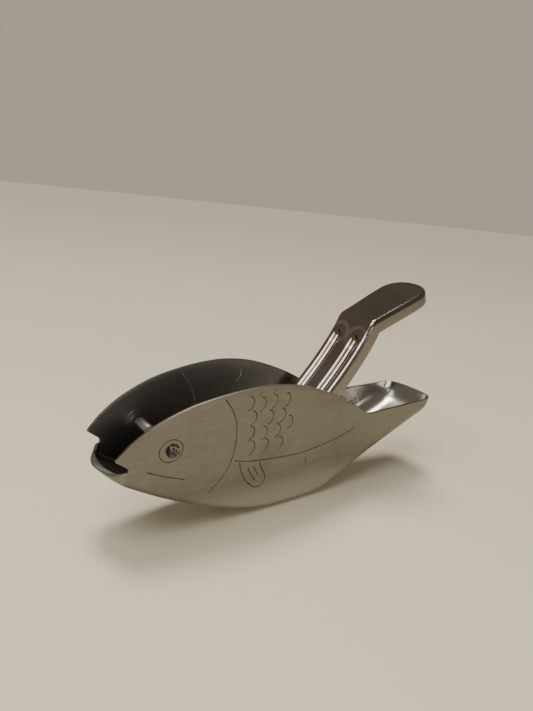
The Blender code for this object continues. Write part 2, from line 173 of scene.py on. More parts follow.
# Where finishes, painted light and painted shade change, in metres in the frame
BELLY_PAINTED_REFLECTION = (0.003, 0.017)        # height over which the outside gets lighter downwards: a painted reflection of the bright floor
TAIL_INSIDE = (0.030, 0.047)      # x over which the inside turns from dull to smooth
TAIL_PAINTED_DARK_END = (0.040, 0.058)       # x over which the smooth part turns from a painted dark reflection to bright steel
INSIDE_DULL = (-0.015, 0.015)     # x over which the dull part, with its painted shade, evens out
INSIDE_SHADE = (0.022, 0.042)     # height below which the dull part gets painted shade
PAD_PAINTED_REFLECTION = (0.0325, 0.0345)    # x from which the pad is coloured darker: a painted dark reflection
FLANGE_SHADE_START = (0.0088, 0.0104)     # distance from the middle where the flanges begin and get painted shade
KNUCKLE_OUT = (0.0026, 0.0034)    # distance from the pivot where the knuckle ends
RIVET_PAINTED_SHADE = (0.0009, 0.0019)    # distance before the pivot where a head gets painted shade
WARM_REFLECTION_SHIFT = (0.0004, -0.0017, 0.0004)   # from a groove's head to its painted warm reflection

# ---------------------------------------------------------------- small tools


def deselect():
    bpy.ops.object.select_all(action="DESELECT")


def activate(obj):
    deselect()
    obj.select_set(True)
    bpy.context.view_layer.objects.active = obj


def freeze(obj):
    """Bake an object's place, turn and size into its mesh."""
    activate(obj)
    bpy.ops.object.transform_apply(location=True, rotation=True, scale=True)
    return obj


def apply_modifier(obj, kind, **settings):
    modifier = obj.modifiers.new(kind.lower(), kind)
    for key, value in settings.items():
        setattr(modifier, key, value)
    activate(obj)
    bpy.ops.object.modifier_apply(modifier=modifier.name)


def join(name, objects):
    activate(objects[0])
    for obj in objects:
        obj.select_set(True)
    bpy.ops.object.join()
    joined = bpy.context.object
    joined.name = name
    joined.data.name = name
    return joined


def coat(obj, material):
    """Give the whole piece one material."""
    obj.data.materials.clear()
    obj.data.materials.append(material)


def clean(obj, gap=0.01):
    """Merge points closer than the gap and turn all faces outwards."""
    activate(obj)
    bpy.ops.object.mode_set(mode="EDIT")
    bpy.ops.mesh.select_all(action="SELECT")
    bpy.ops.mesh.remove_doubles(threshold=gap * MM)
    bpy.ops.mesh.dissolve_degenerate(threshold=gap / 2 * MM)
    bpy.ops.mesh.normals_make_consistent(inside=False)
    bpy.ops.object.mode_set(mode="OBJECT")


def round_edges(obj, width):
    apply_modifier(obj, "BEVEL", width=width * MM, segments=2, limit_method="ANGLE",
                   angle_limit=radians(60))


def shade(obj, angle):
    """Smooth shading, apart from edges sharper than the angle in degrees."""
    activate(obj)
    bpy.ops.object.shade_smooth_by_angle(angle=radians(angle))


def shaped_grid(name, rows):
    """A grid primitive laid over rows of points in millimetres."""
    across, along = len(rows[0]) - 1, len(rows) - 1
    deselect()
    bpy.ops.mesh.primitive_grid_add(x_subdivisions=across, y_subdivisions=along, size=1)
    obj = bpy.context.object
    obj.name = name
    for vert in obj.data.vertices:
        i = round((vert.co.x + 0.5) * across)
        j = round((vert.co.y + 0.5) * along)
        vert.co = rows[j][i] * MM
    return obj


def lerp(table, x):
    """Straight-line reading of a short table of pairs."""
    if x <= table[0][0]:
        return table[0][1]
    for (xa, ya), (xb, yb) in zip(table, table[1:]):
        if x <= xb:
            return ya + (yb - ya) * (x - xa) / (xb - xa)
    return table[-1][1]


def smooth(table, x):
    """Reading of a short table along a smooth curve through its points."""
    last = len(table) - 1
    k = max(i for i in range(last) if i == 0 or table[i][0] <= x)

    def slope(i):
        low, high = max(i - 1, 0), min(i + 1, last)
        return (table[high][1] - table[low][1]) / (table[high][0] - table[low][0])

    (xa, ya), (xb, yb) = table[k], table[k + 1]
    span = xb - xa
    t = min(max((x - xa) / span, 0.0), 1.0)
    start, end = slope(k) * span, slope(k + 1) * span
    return (ya * (2 * t**3 - 3 * t**2 + 1) + start * (t**3 - 2 * t**2 + t)
            + yb * (3 * t**2 - 2 * t**3) + end * (t**3 - t**2))


def dense_path(points, steps=PATH_STEPS):
    """A smooth line through points in a plane, read finely."""
    line = []
    for k in range(len(points) - 1):
        before, a = points[max(k - 1, 0)], points[k]
        b, after = points[k + 1], points[min(k + 2, len(points) - 1)]
        for i in range(steps):
            t = i / steps
            line.append(tuple(0.5 * (2 * a[j] + (b[j] - before[j]) * t
                                     + (2 * before[j] - 5 * a[j] + 4 * b[j] - after[j]) * t**2
                                     + (3 * a[j] - before[j] - 3 * b[j] + after[j]) * t**3)
                              for j in (0, 1)))
    return line + [points[-1]]


def ramp(distance, blend):
    """Zero before a slope, the distance along it after, with a round start."""
    if distance <= -blend:
        return 0.0
    if distance >= blend:
        return distance
    return (distance + blend) ** 2 / (4 * blend)


# ---------------------------------------------------------------- body's shape


def belly_z(x):
    """Height of the trough's outer floor."""
    front = ramp(BELLY[0] - x, BLEND[0])
    rear = ramp(x - BELLY[1], BLEND[1])
    return FRONT_SLOPE[0] * front + FRONT_SLOPE[1] * front**2 + REAR_SLOPE * rear


def rim_z(x):
    """Height of the walls' top edge."""
    if x <= TAIL_RIM[0][0]:
        return smooth(BACK_OUTLINE, x)
    return lerp(TAIL_RIM, x)


def half_width(x, z):
    """Distance of a wall's outer face from the middle plane."""
    return smooth(BASE_HALF_WIDTH, x) - WITHIN + z * tan(LEAN)


def half_section(x):
    """Near half of one cross-section, from the rim down to the middle of the floor: (y, z)."""
    floor, rim = belly_z(x), rim_z(x)
    radius = min(lerp(CORNER_RADIUS, x), CORNER_SHARE * (rim - floor))
    centre_z = floor + radius
    centre_y = half_width(x, centre_z) - radius / cos(LEAN)
    bottom = centre_z - radius * sin(LEAN)
    mouth = bottom + LOWER_SHARE * (rim - bottom)
    points = []
    for k in range(UPPER_ROWS):
        z = rim + (mouth - rim) * k / UPPER_ROWS
        points.append((-half_width(x, z), z))
    for k in range(LOWER_ROWS):
        z = mouth + (bottom - mouth) * k / LOWER_ROWS
        points.append((-half_width(x, z), z))
    for k in range(CORNER_ROWS):
        angle = LEAN + (pi / 2 - LEAN) * k / CORNER_ROWS
        points.append((-centre_y - radius * cos(angle), centre_z - radius * sin(angle)))
    for k in range(FLOOR_ROWS // 2 + 1):
        points.append((-centre_y * (1 - 2 * k / FLOOR_ROWS), floor))
    return points


def section(x):
    """A whole cross-section, from the near rim round to the far one."""
    near = half_section(x)
    return [Vector((LIP_X + x, y, z)) for y, z in near + [(-y, z) for y, z in near[-2::-1]]]


def run_shares(points):
    """How far along their own line points lie, from 0 to 1."""
    lengths = [0.0]
    for a, b in zip(points, points[1:]):
        lengths.append(lengths[-1] + (b - a).length)
    return [length / lengths[-1] for length in lengths]


def rounded_end(near, tip, pull, powers, late, steps):
    """Rows that close an end with nested U lines, the rim's first and the floor's middle last.

    The middle of the end runs from the floor along towards the pull point and up to the tip, and
    it turns up the later, the larger the fifth value is.
    """
    middle = near[-1]
    rows = []
    for start, share in zip(near, run_shares(near)):
        power = powers[0] + (powers[1] - powers[0]) * share**0.5
        out, up = 1 - share**late, (1 - share) ** late
        reach = middle + (pull - middle) * out + (tip - pull) * up
        row = []
        for k in range(steps + 1):
            angle = pi * k / steps
            side = 1 if k < steps / 2 else -1
            turn = sin(angle) ** (2 / power)
            y = side * start.y * abs(cos(angle)) ** (2 / power)
            row.append(Vector((start.x + (reach.x - start.x) * turn, y,
                               start.z + (reach.z - start.z) * turn)))
        rows.append(row)
    return rows


def jaw_rows():
    """The rounded lower jaw in front of the mouth notch."""
    near = section(MOUTH_X)[JAW_ROW:HALF_ROWS]
    tip = Vector((LIP_X + MOUTH_X - JAW_REACH, 0.0, near[0].z - JAW_DIP))
    pull = Vector((LIP_X + MOUTH_X - CHIN_REACH, 0.0, near[-1].z + CHIN_RISE))
    return rounded_end(near, tip, pull, JAW_POWERS, JAW_TURN, JAW_STEPS)


def tail_rows():
    """The scoop's rounded, upturned end."""
    near = section(TAIL_START)[:HALF_ROWS]
    tip = Vector((LIP_X + TAIL_START + TAIL_BULGE, 0.0, near[0].z + TAIL_CROWN))
    reach = TAIL_REACH * TAIL_BULGE
    pull = Vector((LIP_X + TAIL_START + reach, 0.0, near[-1].z + REAR_SLOPE * reach))
    return rounded_end(near, tip, pull, TAIL_POWERS, TAIL_TURN, TAIL_STEPS)


def lip_rows(side):
    """One upper lip, from the mouth notch forward to its tip."""
    notch = section(MOUTH_X)[UPPER_ROWS].z
    rows = []
    for k in range(LIP_STEPS + 1):
        x = MOUTH_X * (1 - k / LIP_STEPS)
        top = rim_z(x)
        low = notch + (LIP_Z - LIP_EDGE - notch) * k / LIP_STEPS
        heights = [top + (low - top) * i / UPPER_ROWS for i in range(UPPER_ROWS + 1)]
        rows.append([Vector((LIP_X + x, side * half_width(x, z), z)) for z in heights])
    return rows


def body_stations():
    """x of the body's cross-sections, one of them where the back meets the tail's rim."""
    stations = []
    for start, end in ((MOUTH_X, TAIL_RIM[0][0]), (TAIL_RIM[0][0], TAIL_START)):
        count = round((end - start) / SLICE)
        stations += [start + (end - start) * k / count for k in range(count)]
    return stations + [TAIL_START]


# ---------------------------------------------------------------- engraved lines


def tube(points, radius):
    """A closed round tube through points in millimetres, with flat ends."""
    curve = bpy.data.curves.new("line", "CURVE")
    curve.dimensions = "3D"
    curve.bevel_depth = radius * MM
    curve.bevel_resolution = 2
    curve.use_fill_caps = True
    closed = (Vector(points[0]) - Vector(points[-1])).length < 1e-6
    spline = curve.splines.new("POLY")
    used = points[:-1] if closed else points
    spline.points.add(len(used) - 1)
    spline.use_cyclic_u = closed
    for target, point in zip(spline.points, used):
        target.co = (*(Vector(point) * MM), 1.0)
    obj = bpy.data.objects.new("line", curve)
    bpy.context.scene.collection.objects.link(obj)
    activate(obj)
    bpy.ops.object.convert(target="MESH")
    return bpy.context.object


def scale_arc(centre):
    return tuple((centre[0] + dx, centre[1] + dz) for dx, dz in SCALE_ARC)


def eye_ring():
    centre_x, centre_z = EYE_RING_CENTRE
    angles = [2 * pi * k / EYE_RING_STEPS for k in range(EYE_RING_STEPS + 1)]
    return [(centre_x + EYE_RING_RADIUS * cos(a), centre_z + EYE_RING_RADIUS * sin(a))
            for a in angles]


def line_sets():
    """The engraved lines in groups whose members don't meet."""
    arcs = [[dense_path(scale_arc(centre), 4) for centre in column] for column in SCALES]
    strokes = [dense_path(stroke, 2) for stroke in SCALE_STROKES]
    rays = [dense_path(ray, 4) for ray in FIN_RAYS]
    first = [dense_path(GILL, 4), dense_path(MOUTH_LINE, 6), dense_path(DASH, 2),
             *arcs[1][::2], *arcs[3][::2]]
    second = [dense_path(SIDE_LINE, 4), eye_ring(), *arcs[0][::2], *arcs[2][::2]]
    third = [dense_path(FIN, 4), *rays, *strokes, *arcs[1][1::2], *arcs[3][1::2]]
    fourth = [*arcs[0][1::2], *arcs[2][1::2]]
    return first, second, third, fourth


def inner_lines():
    """The few lines that also show on the walls' inner faces."""
    return [dense_path(GILL, 4), dense_path(scale_arc(SCALES[3][0]), 4)]


def line_tool(lines, side, depth_offset, material):
    """All of a group's tubes on one wall, as one object."""
    tubes = []
    for line in lines:
        points = [(LIP_X + x, side * (half_width(x, z) + depth_offset), z) for x, z in line]
        tubes.append(tube(points, LINE_RADIUS))
    tool = join("tool", tubes)
    clean(tool)
    coat(tool, material)
    return tool


def boolean(obj, tool, operation):
    """Cut or add a tool, whose material goes on what it makes, and remove it."""
    apply_modifier(obj, "BOOLEAN", object=tool, operation=operation, solver="MANIFOLD",
                   material_mode="TRANSFER")
    bpy.data.objects.remove(tool, do_unlink=True)


def engrave(body, groove, worn):
    """Cut the lines into both walls' outsides and raise the few that show inside."""
    outside = LINE_RADIUS - LINE_CUT
    inside = -SHEET / cos(LEAN) + LINE_RADIUS - LINE_RISE
    for lines in line_sets():
        for side in (-1, 1):
            boolean(body, line_tool(lines, side, outside, groove), "DIFFERENCE")
    for side in (-1, 1):
        boolean(body, line_tool(inner_lines(), side, inside, worn), "UNION")
        boolean(body, line_tool([eye_ring()], side, inside, body.data.materials[1]), "UNION")


def make_body(materials, groove, worn):
    """The trough, with its outer and its inner material, eyes and lines."""
    rows = [section(x) for x in body_stations()]
    patches = [shaped_grid("patch", patch)
               for patch in (rows, jaw_rows(), tail_rows(), lip_rows(-1), lip_rows(1))]
    body = join("fish_shell", patches)
    clean(body)
    for material in materials:
        body.data.materials.append(material)
    apply_modifier(body, "SOLIDIFY", thickness=SHEET * MM, offset=-1.0, use_even_offset=True,
                   material_offset=1)
    round_edges(body, BODY_EDGE)
    boolean(body, cylinder("tool", BORE_RADIUS, -EYE_HOLE_HALF, EYE_HOLE_HALF), "DIFFERENCE")
    engrave(body, groove, worn)
    shade(body, 32)
    return body


# ---------------------------------------------------------------- pivot's shape


def cylinder(name, radius, low, high, steps=64, ends="NGON"):
    """A cylinder about the pivot's axis, from y low to y high."""
    deselect()
    bpy.ops.mesh.primitive_cylinder_add(
        vertices=steps, radius=radius * MM, depth=(high - low) * MM, end_fill_type=ends,
        location=(PIVOT.x * MM, (low + high) / 2 * MM, PIVOT.z * MM), rotation=(pi / 2, 0, 0))
    obj = bpy.context.object
    obj.name = name
    return freeze(obj)


def rivet_head(side):
    """One peened head: a low disc with a rounded edge and a sunk middle, flat on the wall."""
    deselect()
    bpy.ops.mesh.primitive_cylinder_add(vertices=64, radius=HEAD_RADIUS * MM,
                                        depth=HEAD_HEIGHT * MM, location=(0, 0, 0))
    head = bpy.context.object
    bpy.ops.object.mode_set(mode="EDIT")
    bm = bmesh.from_edit_mesh(head.data)
    bpy.ops.mesh.select_all(action="DESELECT")
    for face in bm.faces:
        face.select_set(face.normal.z > 0.9)
    bm.select_flush(True)
    bmesh.update_edit_mesh(head.data)
    bpy.ops.mesh.bevel(offset=HEAD_ROUND * MM, segments=4, affect="EDGES")
    bm = bmesh.from_edit_mesh(head.data)
    for face in bm.faces:
        face.select_set(face.normal.z > 0.999)
    bmesh.update_edit_mesh(head.data)
    bpy.ops.mesh.inset(thickness=HEAD_RING * MM)
    bpy.ops.mesh.extrude_region_move(TRANSFORM_OT_translate={"value": (0, 0, -HEAD_SINK * MM)})
    bpy.ops.transform.resize(value=(HEAD_TAPER, HEAD_TAPER, 1))
    bpy.ops.object.mode_set(mode="OBJECT")
    y = half_width(EYE_X, EYE_Z) + HEAD_HEIGHT / 2 - HEAD_BED
    head.rotation_euler = (side * -(pi / 2 + LEAN), 0, 0)
    head.location = (PIVOT.x * MM, side * y * MM, PIVOT.z * MM)
    return freeze(head)


def make_rivet(material):
    shank = cylinder("rivet", SHANK_RADIUS, -SHANK_HALF, SHANK_HALF)
    for side in (-1, 1):
        boolean(shank, rivet_head(side), "UNION")
    coat(shank, material)
    shade(shank, 35)
    return shank


def make_sleeve(name, node, material):
    """A tube on the rivet, as long as its node in the frame."""
    low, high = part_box(node)
    sleeve = cylinder(name, SLEEVE_RADIUS, low.y / MM, high.y / MM, ends="NOTHING")
    apply_modifier(sleeve, "SOLIDIFY", thickness=(SLEEVE_RADIUS - BORE_RADIUS) * MM, offset=-1.0)
    round_edges(sleeve, SLEEVE_EDGE)
    coat(sleeve, material)
    shade(sleeve, 35)
    return sleeve


# ---------------------------------------------------------------- lever's shape


def lever_line():
    """Face line of the lever, and which of its points the crease starts and ends at."""
    line = dense_path(LEVER_PATH)
    (xa, za), (xb, zb) = line[-2:]
    angle = atan2(zb - za, xb - xa)
    x, z = line[-1]
    start = len(line) - 1
    turn = (angle - PAD_SLOPE) / CREASE_STEPS
    for _ in range(CREASE_STEPS):
        angle -= turn
        step = CREASE_RADIUS * turn
        x += step * cos(angle + turn / 2)
        z += step * sin(angle + turn / 2)
        line.append((x, z))
    end = len(line) - 1
    line.append((x + PAD_LENGTH * cos(PAD_SLOPE), z + PAD_LENGTH * sin(PAD_SLOPE)))
    return line, start, end


class Bend:
    """Puts the flat lever on its bent face line.

    s runs along the line, v across the lever, and d up from its face.
    """

    def __init__(self):
        self.line, crease_start, crease_end = lever_line()
        self.stops = [0.0]
        for (xa, za), (xb, zb) in zip(self.line, self.line[1:]):
            self.stops.append(self.stops[-1] + hypot(xb - xa, zb - za))
        self.crease = (self.stops[crease_start] + self.stops[crease_end]) / 2
        self.length = self.stops[-1]

    def point(self, s):
        k = max(i for i in range(len(self.stops) - 1) if i == 0 or self.stops[i] <= s)
        share = (s - self.stops[k]) / (self.stops[k + 1] - self.stops[k])
        (xa, za), (xb, zb) = self.line[k], self.line[k + 1]
        return xa + (xb - xa) * share, za + (zb - za) * share

    def angle(self, s):
        """Slope of the line near s; over the crease it turns as gently as the flanges need."""
        low, high = max(s - CREASE_REACH, 0.0), min(s + CREASE_REACH, self.length)
        (xa, za), (xb, zb) = self.point(low), self.point(high)
        return atan2(zb - za, xb - xa)

    def place(self, s, v, d):
        x, z = self.point(min(max(s, 0.0), self.length))
        angle = self.angle(s)
        return Vector((LIP_X + x - d * sin(angle), v, z + d * cos(angle)))


def lever_stations(bend):
    """s of the lever's cross-sections: closer at the shoulders, the crease and the round end."""
    groove_end = bend.crease - GROOVE_MARGIN
    groove_band = groove_end - GROOVE_BAND
    crease_start, crease_end = bend.crease - CREASE_BAND, bend.crease + CREASE_BAND
    round_start = bend.length - PAD_ROUND
    bands = ((0.0, SHOULDER_BAND, SHOULDER_STEP), (SHOULDER_BAND, groove_band, PLAIN_STEP),
             (groove_band, groove_end, GROOVE_STEP), (groove_end, crease_start, SHOULDER_STEP),
             (crease_start, crease_end, CREASE_STEP), (crease_end, round_start, PLAIN_STEP))
    stations = []
    for start, end, step in bands:
        count = round((end - start) / step)
        stations += [start + (end - start) * k / count for k in range(count)]
    return stations + [round_start + PAD_ROUND * sin(pi / 2 * k / ROUND_STEPS)
                       for k in range(ROUND_STEPS)]


def lever_outline(bend, s):
    """Half width of the flat lever at s, rounded off at the pad's end."""
    width = smooth(LEVER_HALF_WIDTH, s)
    share = max((s - (bend.length - PAD_ROUND)) / PAD_ROUND, 0.0)
    return width * max(1 - share**PAD_POWER, 0.0) ** (1 / PAD_POWER)


def groove_depth(bend, s, v):
    """Depth below the face at (s, v): two sunk grooves with round ends."""
    end = bend.crease - GROOVE_MARGIN - GROOVE_WIDTH / 2
    along = max(s - end, end - GROOVE_LENGTH - s, 0.0)
    distance = hypot(along, abs(v) - GROOVE_OFFSET) / (GROOVE_WIDTH / 2)
    return GROOVE_DEPTH * (1 + cos(pi * min(distance, 1.0))) / 2


def groove_heads():
    """The middles of the grooves' upper round ends, in the frame."""
    bend = Bend()
    end = bend.crease - GROOVE_MARGIN - GROOVE_HEAD * GROOVE_WIDTH
    return [bend.place(end, side * GROOVE_OFFSET, 0.0) * MM for side in (-1, 1)]


def lever_section(bend, s, inward):
    """Near half of one cross-section, from the flange's edge to the lever's middle."""
    half = lever_outline(bend, s)
    depth = lerp(LEVER_DEPTH, s)
    rows = [(0.0, -depth + (depth - LEVER_BEND) * k / FLANGE_ROWS) for k in range(FLANGE_ROWS)]
    for k in range(BEND_ROWS + 1):
        angle = pi / 2 * k / BEND_ROWS
        rows.append((LEVER_BEND * (1 - cos(angle)), -LEVER_BEND * (1 - sin(angle))))
    points = [(s + inward.x * inset, half + inward.y * inset, d) for inset, d in rows]
    edge_s, edge_v, _ = points[-1]
    for k in range(1, FACE_ROWS + 1):
        v = edge_v * (1 - k / FACE_ROWS)
        points.append((edge_s, v, -groove_depth(bend, edge_s, v)))
    return points


def lever_front(near):
    """Rows that turn the face's middle down over the blunt tip of the round end."""
    edge = FLANGE_ROWS + BEND_ROWS
    rows = []
    for k in range(1, edge + 1):
        corner = near[edge - k]
        middle = [(corner[0], v, corner[2]) for _, v, _ in near[edge + 1:]]
        rows.append(near[:edge - k] + [corner] * (k + 1) + middle)
    return rows


def lever_rows(bend):
    """The bent lever's whole cross-sections, and the rows that close its round end."""
    stations = lever_stations(bend)
    sections = []
    for k, s in enumerate(stations[:-1]):
        before, after = stations[max(k - 1, 0)], stations[k + 1]
        rise = lever_outline(bend, after) - lever_outline(bend, before)
        inward = Vector((rise, before - after)).normalized()
        sections.append(lever_section(bend, s, inward))
    sections.append(lever_section(bend, stations[-1], Vector((-1.0, 0.0))))
    sections += lever_front(sections[-1])
    return [[bend.place(*point) for point in [(a, -v, d) for a, v, d in near] + near[-2::-1]]
            for near in sections]


def make_tongue():
    """The strip that rises from the lever's face and curls round the pivot."""
    radius = BORE_RADIUS + CURL_CLEARANCE + TONGUE_SHEET / 2
    angles = [CURL_START + (CURL_END - CURL_START) * k / CURL_STEPS
              for k in range(CURL_STEPS + 1)]
    curl = [(EYE_X + radius * cos(a), EYE_Z + radius * sin(a)) for a in angles]
    line = dense_path(TONGUE_PATH + (curl[0],), 8)[:-1] + curl
    rows = [[Vector((LIP_X + x, KNUCKLE_HALF * j, z)) for j in (-1, -0.5, 0, 0.5, 1)]
            for x, z in line]
    strip = shaped_grid("tongue", rows)
    apply_modifier(strip, "SOLIDIFY", thickness=TONGUE_SHEET * MM, offset=0.0)
    round_edges(strip, TONGUE_EDGE)
    clean(strip)
    return strip


def make_lever(material):
    lever = shaped_grid("lever_pressing", lever_rows(Bend()))
    clean(lever)
    apply_modifier(lever, "SOLIDIFY", thickness=SHEET * MM, offset=-1.0, use_even_offset=True)
    round_edges(lever, LEVER_EDGE)
    boolean(lever, make_tongue(), "UNION")
    coat(lever, material)
    shade(lever, 32)
    return lever


# ---------------------------------------------------------------- materials


class Value:
    """A number that varies over a surface; arithmetic on it adds Math nodes."""

    def __init__(self, nodes, socket):
        self.nodes, self.socket = nodes, socket

    def math(self, operation, *others):
        node = self.nodes.add("ShaderNodeMath", {"operation": operation},
                              dict(enumerate([self, *others])))
        return Value(self.nodes, node.outputs[0])

    def __add__(self, other):
        return self.math("ADD", other)

    def __mul__(self, other):
        return self.math("MULTIPLY", other)

    def __sub__(self, other):
        return self.math("SUBTRACT", other)

    def __rsub__(self, other):
        return (self * -1.0) + other

    __radd__, __rmul__ = __add__, __mul__

    def clamp(self, low=0.0, high=1.0):
        return self.math("MAXIMUM", low).math("MINIMUM", high)

    def between(self, low, high):
        """0 below low, 1 above high, and a smooth step between."""
        node = self.nodes.add("ShaderNodeMapRange", {"interpolation_type": "SMOOTHSTEP"},
                              {"Value": self, "From Min": low, "From Max": high})
        return Value(self.nodes, node.outputs["Result"])


class Material:
    """A Principled material with helpers for its node tree."""

    def __init__(self, name, metallic=1.0):
        self.material = bpy.data.materials.new(name)
        self.material.use_nodes = True
        self.tree = self.material.node_tree
        self.shader = self.tree.nodes["Principled BSDF"]
        self.shader.inputs["Metallic"].default_value = metallic
        self.place = self.add("ShaderNodeTexCoord").outputs["Object"]

    def add(self, kind, settings=None, inputs=None):
        """A node of one kind, with its settings and the values or links of its sockets."""
        node = self.tree.nodes.new(kind)
        for key, value in (settings or {}).items():
            setattr(node, key, value)
        for key, value in (inputs or {}).items():
            self.feed(node.inputs[key], value)
        return node

    def feed(self, socket, value):
        if isinstance(value, Value):
            value = value.socket
        if isinstance(value, bpy.types.NodeSocket):
            self.tree.links.new(value, socket)
        else:
            socket.default_value = value

    def set(self, **inputs):
        """Feed the shader; a socket's name is written with _ for its spaces."""
        for key, value in inputs.items():
            self.feed(self.shader.inputs[key.replace("_", " ")], value)

    def noise(self, scale, stretch=(1, 1, 1), detail=3.0, rough=0.5, shift=(0, 0, 0)):
        """Noise from 0 to 1 about 0.5; scale is in cells for each metre."""
        mapping = self.add("ShaderNodeMapping", {}, {"Vector": self.place, "Scale": stretch,
                                                     "Location": shift})
        node = self.add("ShaderNodeTexNoise", {},
                        {"Vector": mapping.outputs[0], "Scale": scale, "Detail": detail,
                         "Roughness": rough})
        return Value(self, node.outputs["Fac"])

    def near(self, point, full, gone):
        """1 within a distance of a point in the frame, falling to 0 further away; metres."""
        node = self.add("ShaderNodeVectorMath", {"operation": "DISTANCE"},
                        {0: self.place, 1: tuple(point)})
        return 1 - Value(self, node.outputs["Value"]).between(full, gone)

    def axis(self, name):
        node = self.add("ShaderNodeSeparateXYZ", {}, {0: self.place})
        return Value(self, node.outputs[name])

    def mix(self, factor, one, two):
        """One colour at factor 0, the other at 1."""
        node = self.add("ShaderNodeMix", {"data_type": "RGBA"}, {0: factor, 6: one, 7: two})
        return node.outputs[2]

    def bump(self, height, depth, strength=1.0):
        """A normal from a height that runs from 0 to 1, depth in metres."""
        node = self.add("ShaderNodeBump", {}, {"Height": height, "Distance": depth,
                                               "Strength": strength})
        return node.outputs[0]


def colour(r, g, b):
    return (r, g, b, 1.0)


def brushed_steel():
    """Satin outside of the fish: grain along it, cloudy shine, faint brown stains, and a painted
    reflection that lightens the belly.
    """
    m = Material("brushed_steel")
    grain = m.noise(900, (0.06, 1, 1), 4.0, 0.6)
    cloud = m.noise(38, (0.8, 1, 1), 3.0, 0.55)
    speck = m.noise(520, (0.6, 1, 1), 2.0, 0.5, (0.3, 0, 0))
    stain = m.noise(55, (1, 1, 1), 3.0, 0.5, (0.1, 0.4, 0.2)).between(0.54, 0.72)
    tone = (grain * 0.5 + speck * 0.5).between(0.3, 0.7)
    base = m.mix(tone, colour(0.192, 0.184, 0.160), colour(0.225, 0.216, 0.187))
    # painted reflection: the base turns lighter low on the belly, standing in for the bright floor
    # seen in the satin
    low = 1 - m.axis("Z").between(*BELLY_PAINTED_REFLECTION)
    base = m.mix(low, base, colour(0.52, 0.49, 0.43))
    base = m.mix(stain * 0.3, base, colour(0.15, 0.12, 0.09))
    m.set(Base_Color=base, Roughness=0.33 + cloud * 0.08 + grain * 0.06,
          Normal=m.bump(grain, 0.00003, 0.35))
    return m.material


def groove_shade_steel():
    """Bottoms of the engraved lines, coloured dark as painted shade in the cuts."""
    m = Material("groove_shade_steel")
    fleck = m.noise(420, (1, 1, 1), 3.0, 0.6)
    # painted shade: the cut lines' faces get a dark colour
    base = m.mix(fleck.between(0.35, 0.65), colour(0.075, 0.064, 0.050), colour(0.16, 0.14, 0.11))
    m.set(Base_Color=base, Roughness=0.45 + fleck * 0.2)
    return m.material


def worn_steel():
    """The lines' ridges inside, rubbed bright in places."""
    m = Material("worn_steel")
    rub = m.noise(900, (1, 1, 1), 3.0, 0.6, (0.3, 0.2, 0.1)).between(0.42, 0.6)
    base = m.mix(rub, colour(0.23, 0.225, 0.22), colour(0.50, 0.49, 0.46))
    m.set(Base_Color=base, Roughness=0.5 - rub * 0.1)
    return m.material


def inner_steel():
    """Inside of the fish: dull and dark in the head, with painted shade low down at its front, and
    smooth and wavy in the tail, with a painted dark reflection where the tail starts.
    """
    m = Material("inner_steel")
    x = m.axis("X")
    tail = x.between(*TAIL_INSIDE)
    cloud = m.noise(60, (1, 1, 1), 3.0, 0.55)
    grain = m.noise(700, (0.08, 1, 1), 3.0, 0.6)
    wave = m.noise(60, (0.5, 1.0, 1.0), 1.0, 0.4)
    dull = m.mix(cloud, colour(0.21, 0.205, 0.20), colour(0.28, 0.275, 0.265))
    # painted shade: the dull part darkens towards the bottom
    dull = m.mix(m.axis("Z").between(*INSIDE_SHADE), colour(0.10, 0.095, 0.09), dull)
    # painted dark reflection at the front of the smooth part, with streaks, turning to bright
    # steel further back
    streak = m.noise(330, (0.12, 1, 1), 2.0, 0.5).between(0.35, 0.65)
    tail_painted_dark = m.mix(streak, colour(0.03, 0.029, 0.028), colour(0.10, 0.097, 0.094))
    shiny = m.mix(x.between(*TAIL_PAINTED_DARK_END), tail_painted_dark, colour(0.50, 0.485, 0.46))
    # the painted shade stays in the front; further back the dull part is one even colour
    dull = m.mix(x.between(*INSIDE_DULL), dull, colour(0.165, 0.16, 0.155))
    base = m.mix(tail, dull, shiny)
    rough = (1 - tail) * (0.36 + cloud * 0.1) + tail * (0.21 + cloud * 0.08)
    m.set(Base_Color=base, Roughness=rough,
          Normal=m.bump(grain * 0.02 + wave * tail * 0.6, 0.0010, 0.5))
    return m.material


